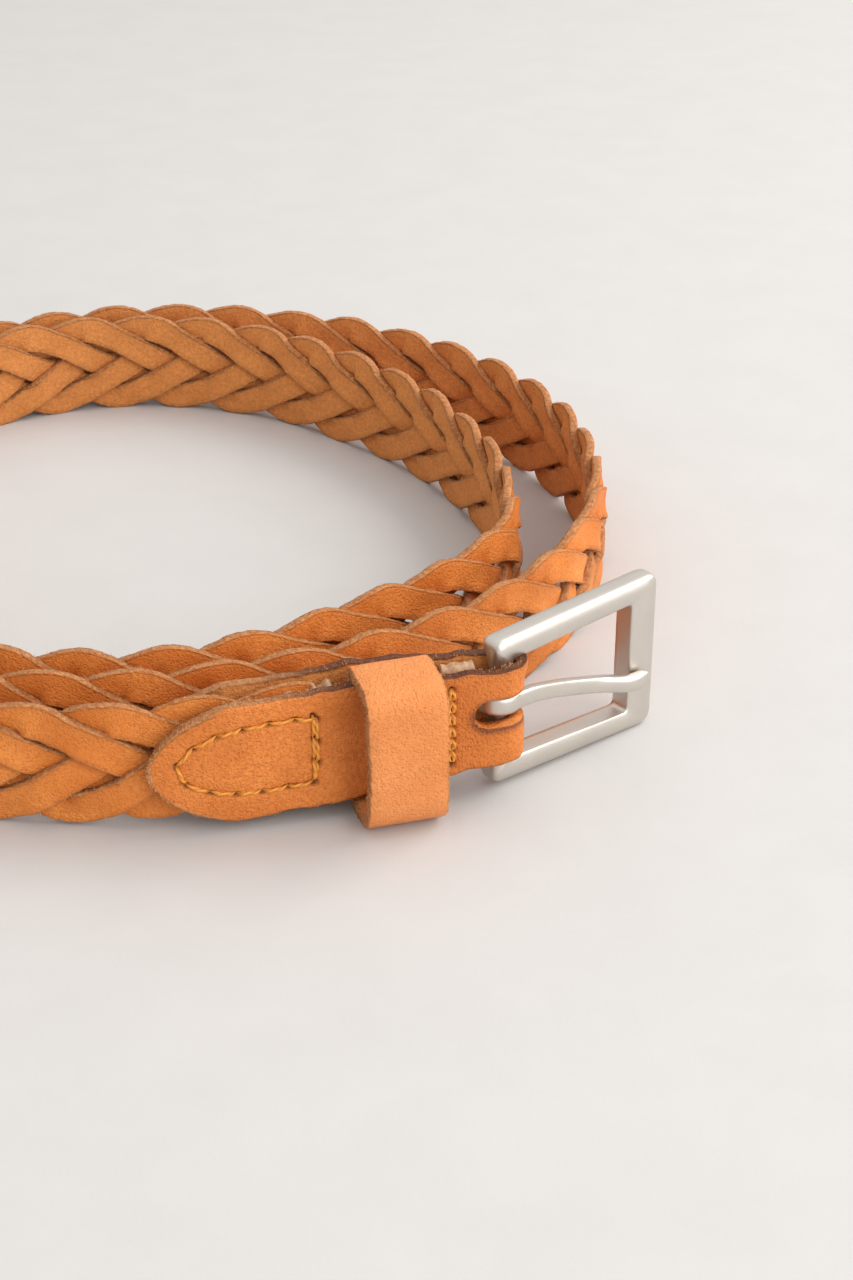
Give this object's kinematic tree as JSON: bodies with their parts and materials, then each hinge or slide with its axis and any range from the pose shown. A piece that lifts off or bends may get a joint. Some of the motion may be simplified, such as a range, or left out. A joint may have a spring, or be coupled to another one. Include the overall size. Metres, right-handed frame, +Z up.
{
  "type": "braided leather belt",
  "caption": "Slim braided tan leather belt coiled on its edge, with a satin nickel frame buckle, prong, sewn leather tab, keeper loop and pointed tip.",
  "frame": {"origin": "under the middle of the coiled belt's bounding box, on the plane that its lower edge stands on", "axes": "+Z up along the strap's width and the buckle bar; the buckle is at the front right, towards +X and -Y"},
  "size_m": [0.1641, 0.167, 0.0264],
  "materials": {
    "strap_leather": "smooth vegetable-tanned grain, warm tan",
    "keeper_leather": "smooth grain, lighter tan",
    "cut_leather": "raw cut edge with pale fibres",
    "thread": "twisted ochre sewing thread",
    "nickel": "satin nickel"
  },
  "bodies": {
    "strap": {"buckle_tab": "strap_leather", "tab_filler": "cut_leather", "thong_1": "strap_leather", "thong_2": "strap_leather", "thong_3": "strap_leather", "thong_4": "strap_leather", "thong_5": "strap_leather", "tip_front_leaf": "strap_leather", "tip_back_leaf": "strap_leather", "cap_stitching_front": "thread", "cap_stitching_back": "thread", "buckle_stitching_front": "thread", "buckle_stitching_back": "thread", "tip_stitching_front": "thread", "tip_stitching_back": "thread"},
    "frame": {"buckle_frame": "nickel"},
    "prong": {"buckle_prong": "nickel"},
    "keeper": {"keeper_loop": "keeper_leather"}
  },
  "joints": [
    {"name": "buckle_swing", "type": "hinge", "parent": "strap", "child": "frame", "pos_m": [0.05711, -0.0683, 0.0132], "axis": [0, 0, 1], "range_deg": [-32, 20]},
    {"name": "prong_pivot", "type": "hinge", "parent": "frame", "child": "prong", "pos_m": [0.05711, -0.0683, 0.0132], "axis": [0, 0, -1], "range_deg": [0, 90]},
    {"name": "keeper_slide", "type": "slide", "parent": "strap", "child": "keeper", "axis": [-0.9788, -0.205, 0], "range_m": [-0.0015, 0.0015]}
  ]
}
